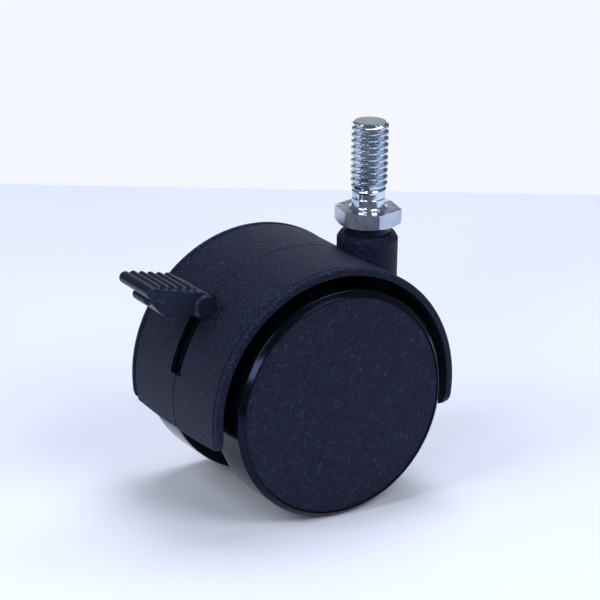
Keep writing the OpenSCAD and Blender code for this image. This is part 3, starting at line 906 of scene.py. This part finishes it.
def join_into(piece, others):
    """Puts the other meshes into the piece, as they are."""
    bm = bmesh.new()
    for part in [piece, *others]:
        bm.from_mesh(part.data)
    bm.to_mesh(piece.data)
    bm.free()
    for part in others:
        bpy.data.objects.remove(part)


def pad_solids():
    """The pad's block with its hollows, and the rolls that melt into it."""
    body = prism("pad", rounded([
        (0, PAD_TOP - 0.4, 0.3), (-1.2, PAD_TOP, 0.5), (-12.7, PAD_TOP, 0.2), (-12.9, 0.9, 0.2),
        (-11.7, 0.5, 0.3), (-11.2, -0.9, 0.6), (-9.6, BELLY, 0.9), (-3.6, BELLY, 1.2),
        (-2.0, -1.6, 0.3), (0, -1.6, 0)], 4), -SIDE_HALF, SIDE_HALF, Vector((0, 0, 0)))
    soften(body, 0.3, 3, 50)
    for side in (-1, 1):
        hollow = lathe("hollow", rounded([
            (0, BELLY - 2, 0), (5.2, BELLY - 2, 0), (4.8, HOLLOW_TOP, 0.8), (0, HOLLOW_TOP, 0)], 5),
            Vector((-NOSE_U - 1.4, side * (SIDE_HALF + 1.6), 0)), "Z", 96)
        combine(body, hollow, "DIFFERENCE")
    nose = roll(-NOSE_U, PAD_TOP - NOSE_R + 0.35, NOSE_R, PAD_HALF - 0.3)
    under_roll = roll(-11.4, -0.35, 1.1, PAD_HALF - 3.8, 0.6)
    root = roll(0, 0, ROOT_R, PAD_HALF, 0.7)
    ridges = [roll(-RIDGE_FIRST - i * RIDGE_PITCH, PAD_TOP, RIDGE_R, SIDE_HALF - 0.3, 0.6)
              for i in range(RIDGES)]
    join_into(body, [nose, under_roll, root, *ridges])
    return body


lever = pad_solids()
print("pad solids:", len(lever.data.polygons), "faces")

# %% [markdown]
# The arm is a flat plate that reaches through the hood's slot to the axle. It holds the curved
# slot that pushes the brake bar, and two notches that a leaf spring clicks into.

# %% Skin the pad, set it in place and add the arm
LEVER_T = 3.4
LEVER_HUB_R = 5.5
RUN_FIT = 0.05
NOTCH_R = 1.0
NOTCH_DEPTH = 0.35
LOBE_WALL = 1.6
HALF_TRAVEL = math.radians(LEVER_TRAVEL / 2)
SHIFT = (BAR_LOCK - BAR_REST) / 2 / math.sin(HALF_TRAVEL)
BAR_MID = (BAR_REST + BAR_LOCK) / 2
CAM_R = math.hypot(BAR_MID, SHIFT * math.cos(HALF_TRAVEL))
LOBE_R = BAR_MID * math.sin(HALF_TRAVEL) + bar_room + LOBE_WALL

remesh = lever.modifiers.new("skin", "REMESH")
remesh.mode = "VOXEL"
remesh.voxel_size = VOXEL * MM
smooth = lever.modifiers.new("blend", "SMOOTH")
smooth.factor = 0.5
smooth.iterations = 5
settle(lever)
print("pad skin:", len(lever.data.polygons), "faces")

reach = HOOD_R + PAD_STANDOFF
rest_angle = math.radians(LEVER_ANGLE)
pad_place = (Matrix.Translation(AXLE * MM)
             @ Matrix.Translation(Vector((math.cos(rest_angle), 0, math.sin(rest_angle)))
                                  * reach * MM)
             @ Matrix.Rotation(math.radians(PAD_TILT), 4, "Y"))
lever.data.transform(pad_place)


def arm_plate():
    """The hub, the lobe round the cam slot and the arm, which leaves the lobe at its own height."""
    half_h = ARM_H / 2
    lobe_at = math.degrees(math.asin(half_h / LOBE_R))
    hub_at = math.degrees(math.asin(half_h / LEVER_HUB_R))
    outline = ([(reach, -half_h), (reach, half_h)]
               + arc(BAR_MID, 0, LOBE_R, lobe_at, 180 - lobe_at, 24)
               + arc(0, 0, LEVER_HUB_R, hub_at, 360 - hub_at, 48)
               + arc(BAR_MID, 0, LOBE_R, 180 + lobe_at, 360 - lobe_at, 24))
    plate = prism("arm", turned_by(outline, LEVER_ANGLE), -LEVER_T / 2, LEVER_T / 2)
    soften(plate, 0.25, 2, 60)
    return plate


def cam_cutter():
    """The slot for the brake bar: an arc about a point beside the axle, with round ends."""
    ends = [Vector((BAR_REST * math.cos(HALF_TRAVEL), BAR_REST * math.sin(HALF_TRAVEL))),
            Vector((BAR_LOCK * math.cos(HALF_TRAVEL), -BAR_LOCK * math.sin(HALF_TRAVEL)))]
    centre = Vector((0, -SHIFT))
    first, last = [math.degrees(math.atan2(*(end - centre).yx)) for end in ends]
    outline = (arc(*centre, CAM_R + bar_room, last, first, 24)
               + arc(*ends[0], bar_room, first, first + 180, 12)[1:-1]
               + arc(*centre, CAM_R - bar_room, first, last, 24)
               + arc(*ends[1], bar_room, last + 180, last + 360, 12)[1:-1])
    return prism("cam", turned_by(outline, LEVER_ANGLE), -LEVER_T, LEVER_T)


arm = arm_plate()
combine(arm, cam_cutter(), "DIFFERENCE")
combine(arm, prism("hole", arc(0, 0, AXLE_R + RUN_FIT, 0, 352.5, 47), -LEVER_T, LEVER_T),
        "DIFFERENCE")
for turn in (0, LEVER_TRAVEL):
    round_notch = arc(LEVER_HUB_R + NOTCH_R - NOTCH_DEPTH, 0, NOTCH_R + RUN_FIT, 0, 345, 23)
    notch = turned_by(round_notch, 90 - turn)
    combine(arm, prism("notch", notch, -LEVER_T, LEVER_T), "DIFFERENCE")
combine(lever, arm, "UNION")
shade(lever, 40)
lever.name = "brake_lever_moulding"
hand_over(lever, "lever", "black_lever_nylon", "brake_lever", lever_nylon)

# %% [markdown]
# ## The parts that keep their CAD shape
# The pieces inside are turned or stamped, and their CAD shapes are right as they are. They only
# need their real materials: spring steel, plated steel, acetal bearings and rubber shoes.

# %% Finish the remaining CAD nodes
finishes = {
    "stem_sleeve": spring_steel, "stem_snap_ring": spring_steel, "detent_spring": spring_steel,
    "right_axle_clip": spring_steel, "left_axle_clip": spring_steel,
    "axle_pin": zinc_pin, "brake_bar": zinc_pin,
    "thrust_washer": black_acetal, "right_hub_bush": black_acetal, "left_hub_bush": black_acetal,
    "right_brake_shoe": brake_rubber, "left_brake_shoe": brake_rubber,
}
for node, material in finishes.items():
    for i in range(len(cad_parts[node].material_slots)):
        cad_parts[node].material_slots[i].material = material
print("CAD nodes with a new finish:", len(finishes))

# %% [markdown]
# ## Camera
# A long lens on the lever's side, looking down at the right wheel, keeps the two wheels nearly
# parallel in the picture. The camera could be aimed at the caster by a constraint, but then its
# slight roll would be lost, so its axes are worked out from its heading, its pitch and its roll.

# %% Camera
CAMERA_AT = Vector((-292.2, -443.4, 162.4))
HEADING = math.radians(31.85)
PITCH_DOWN = math.radians(19.1)
ROLL = math.radians(1.06)
LENS = 155.4

forward = Vector((math.sin(HEADING) * math.cos(PITCH_DOWN),
                  math.cos(HEADING) * math.cos(PITCH_DOWN), -math.sin(PITCH_DOWN)))
level_right = Vector((math.cos(HEADING), -math.sin(HEADING), 0))
level_up = level_right.cross(forward)
cam_right = level_right * math.cos(ROLL) + level_up * math.sin(ROLL)
cam_up = level_up * math.cos(ROLL) - level_right * math.sin(ROLL)
camera = bpy.data.objects.new("camera", bpy.data.cameras.new("camera"))
bpy.context.scene.collection.objects.link(camera)
camera.matrix_world = Matrix.Translation(CAMERA_AT * MM) @ Matrix(
    (cam_right, cam_up, -forward)).transposed().to_4x4()
camera.data.lens = LENS
camera.data.sensor_width = 36
camera.data.clip_start = 0.01
bpy.context.scene.camera = camera
print("camera", round((CAMERA_AT - AXLE).length), "mm from the axle")

# %% [markdown]
# ## Floor and light
# The caster stands on a pale table whose rear edge makes a faint horizon. Behind it hangs a lit
# sheet of paper. A curved studio sweep would hide that edge, so the two are separate planes.

# %% Floor
TABLE_EDGE = 744.0
TABLE_FRONT = 400.0
TABLE_HALF = 900.0

floor_material, tree, bsdf = new_material("matt_laminate", roughness=0.55, ior=1.5)
place = add(tree, "ShaderNodeTexCoord").outputs["Object"]
cloud = add(tree, "ShaderNodeTexNoise", {"Vector": place, "Scale": per_metre(60), "Detail": 2.0})
tree.links.new(ramp(tree, cloud.outputs["Fac"], [(0.3, "#e3e8f2"), (0.7, "#e7ebf4")]),
               bsdf.inputs["Base Color"])
flat_forward = Vector((math.sin(HEADING), math.cos(HEADING), 0))
under_camera = Vector((CAMERA_AT.x, CAMERA_AT.y, 0))
bm = bmesh.new()
corners = []
for along, across in ((TABLE_EDGE, -1), (TABLE_EDGE, 1), (TABLE_FRONT, 1), (TABLE_FRONT, -1)):
    spot = under_camera + flat_forward * along + level_right * across * TABLE_HALF
    corners.append(bm.verts.new((spot.x, spot.y, 0)))
bm.faces.new(corners)
bmesh.ops.subdivide_edges(bm, edges=bm.edges, cuts=8, use_grid_fill=True)
table = to_object(bm, "table_top", Vector((0, 0, FLOOR_Z)))
table.data.materials.append(floor_material)

BACKDROP_AT = 1500.0
BACKDROP_HALF = 330.0
backdrop_material = bpy.data.materials.new("lit_paper")
backdrop_material.use_nodes = True
tree = backdrop_material.node_tree
glow = add(tree, "ShaderNodeEmission", {"Color": srgb("#f4f8fe"), "Strength": 1.0})
tree.links.new(glow.outputs["Emission"], tree.nodes["Material Output"].inputs["Surface"])
bm = bmesh.new()
middle = under_camera + flat_forward * BACKDROP_AT
corners = []
for across, height in ((-1, -1), (1, -1), (1, 1), (-1, 1)):
    spot = middle + level_right * across * BACKDROP_HALF
    corners.append(bm.verts.new((spot.x, spot.y, height * BACKDROP_HALF)))
bm.faces.new(corners)
backdrop = to_object(bm, "backdrop", Vector((0, 0, FLOOR_Z)))
backdrop.data.materials.append(backdrop_material)
print("table top at", round(FLOOR_Z, 2), "mm")

# %% [markdown]
# The light is that of a white studio. Large soft boxes at the right and the left in front give
# the two soft shadows, one overhead lights the hood's top, and a small one behind the camera
# puts the short highlight on the wheel's bevel. The standard view transform keeps white white.

# %% Light
def soft_box(name, bearing, elevation, distance, size, power, colour="#f2f5ff"):
    """A square area light aimed at the caster; bearing 0 is behind it, and 90 is on the right."""
    lamp = bpy.data.lights.new(name, "AREA")
    lamp.size = size * MM
    lamp.energy = power
    lamp.color = srgb(colour)[:3]
    box = bpy.data.objects.new(name, lamp)
    bpy.context.scene.collection.objects.link(box)
    turn, rise = math.radians(bearing), math.radians(elevation)
    level = flat_forward * math.cos(turn) + level_right * math.sin(turn)
    way = level * math.cos(rise) + Vector((0, 0, math.sin(rise)))
    box.matrix_world = (Matrix.Translation((AXLE + way * distance) * MM)
                        @ way.to_track_quat("Z", "Y").to_matrix().to_4x4())


world = bpy.data.worlds.new("white_studio")
bpy.context.scene.world = world
world.use_nodes = True
sky = world.node_tree.nodes["Background"]
sky.inputs["Color"].default_value = srgb("#e6ecfb")
sky.inputs["Strength"].default_value = 0.17
soft_box("right_box", 130, 42, 750, 380, 2.75)
soft_box("left_box", -125, 42, 750, 380, 2.8)
soft_box("top_box", 20, 71, 700, 420, 3.2, "#edf1ff")
soft_box("window", -162, 19, 800, 200, 1.3)
bpy.context.scene.view_settings.view_transform = "Standard"
